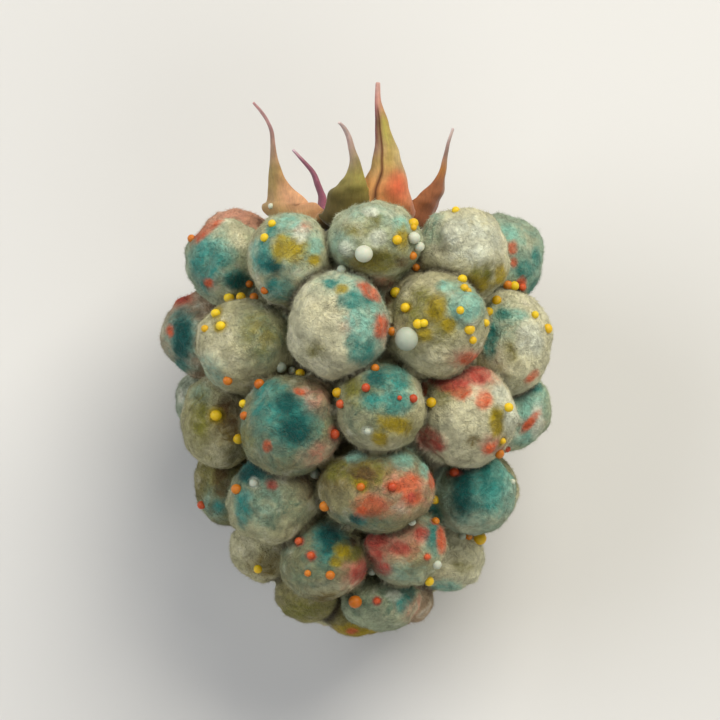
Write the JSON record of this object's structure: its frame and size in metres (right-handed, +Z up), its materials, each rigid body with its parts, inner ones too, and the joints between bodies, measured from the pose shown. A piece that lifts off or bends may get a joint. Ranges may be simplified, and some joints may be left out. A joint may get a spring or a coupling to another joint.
{
  "type": "raspberry",
  "caption": "Ripe raspberry lying on its side: rounded drupelets in rings with small beads, and a calyx of slim pointed sepals at one end.",
  "frame": {"origin": "on the surface the berry lies on, under the middle of its box", "axes": "+Y along the berry from its tip to its calyx, +Z up from the surface it lies on, +X across it"},
  "size_m": [0.0218, 0.0298, 0.0217],
  "materials": {
    "drupelet_skin": "downy fruit skin, cream and grey green with teal, coral and ochre patches, and small satin beads",
    "sepal": "fibrous downy leaf, ochre and olive with coral and pink edges"
  },
  "bodies": {
    "root": {"drupelets": "drupelet_skin", "calyx": "sepal"}
  },
  "joints": []
}
